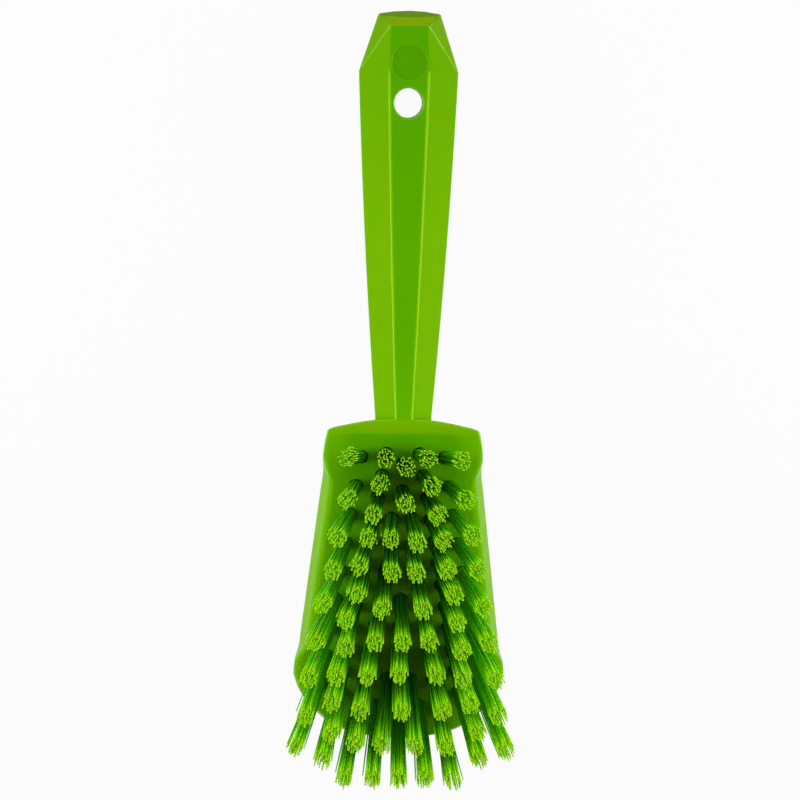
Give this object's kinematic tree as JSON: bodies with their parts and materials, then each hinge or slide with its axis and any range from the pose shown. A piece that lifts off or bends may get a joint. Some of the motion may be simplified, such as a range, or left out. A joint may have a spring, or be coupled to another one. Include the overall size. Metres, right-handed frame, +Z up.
{
  "type": "scrub brush",
  "caption": "Short-handled scrub brush: one-piece moulded body with faceted handle and hanging hole, and a fanned field of bristle tufts set in its flared face.",
  "frame": {"origin": "centre of the footprint, on the floor that the brush lies on with its bristles up", "axes": "+Y along the handle towards its end, +Z up and out of the bristles, +X across the block"},
  "size_m": [0.0784, 0.2634, 0.0688],
  "materials": {
    "body": "satin moulded polypropylene",
    "bristle": "stiff polyester filament, cut tips"
  },
  "bodies": {
    "root": {"brush_body": "body", "middle_row_1": "bristle", "middle_row_10": "bristle", "middle_row_2": "bristle", "middle_row_3": "bristle", "middle_row_4": "bristle", "middle_row_5": "bristle", "middle_row_6": "bristle", "middle_row_7": "bristle", "middle_row_8": "bristle", "middle_row_9": "bristle", "outer_tuft_left_1": "bristle", "outer_tuft_left_2": "bristle", "outer_tuft_left_3": "bristle", "outer_tuft_left_4": "bristle", "outer_tuft_left_5": "bristle", "outer_tuft_left_6": "bristle", "outer_tuft_left_7": "bristle", "outer_tuft_left_8": "bristle", "outer_tuft_left_9": "bristle", "outer_tuft_right_1": "bristle", "outer_tuft_right_2": "bristle", "outer_tuft_right_3": "bristle", "outer_tuft_right_4": "bristle", "outer_tuft_right_5": "bristle", "outer_tuft_right_6": "bristle", "outer_tuft_right_7": "bristle", "outer_tuft_right_8": "bristle", "outer_tuft_right_9": "bristle", "second_tuft_left_1": "bristle", "second_tuft_left_10": "bristle", "second_tuft_left_11": "bristle", "second_tuft_left_12": "bristle", "second_tuft_left_2": "bristle", "second_tuft_left_3": "bristle", "second_tuft_left_4": "bristle", "second_tuft_left_5": "bristle", "second_tuft_left_6": "bristle", "second_tuft_left_7": "bristle", "second_tuft_left_8": "bristle", "second_tuft_left_9": "bristle", "second_tuft_right_1": "bristle", "second_tuft_right_10": "bristle", "second_tuft_right_11": "bristle", "second_tuft_right_12": "bristle", "second_tuft_right_2": "bristle", "second_tuft_right_3": "bristle", "second_tuft_right_4": "bristle", "second_tuft_right_5": "bristle", "second_tuft_right_6": "bristle", "second_tuft_right_7": "bristle", "second_tuft_right_8": "bristle", "second_tuft_right_9": "bristle"}
  },
  "joints": []
}
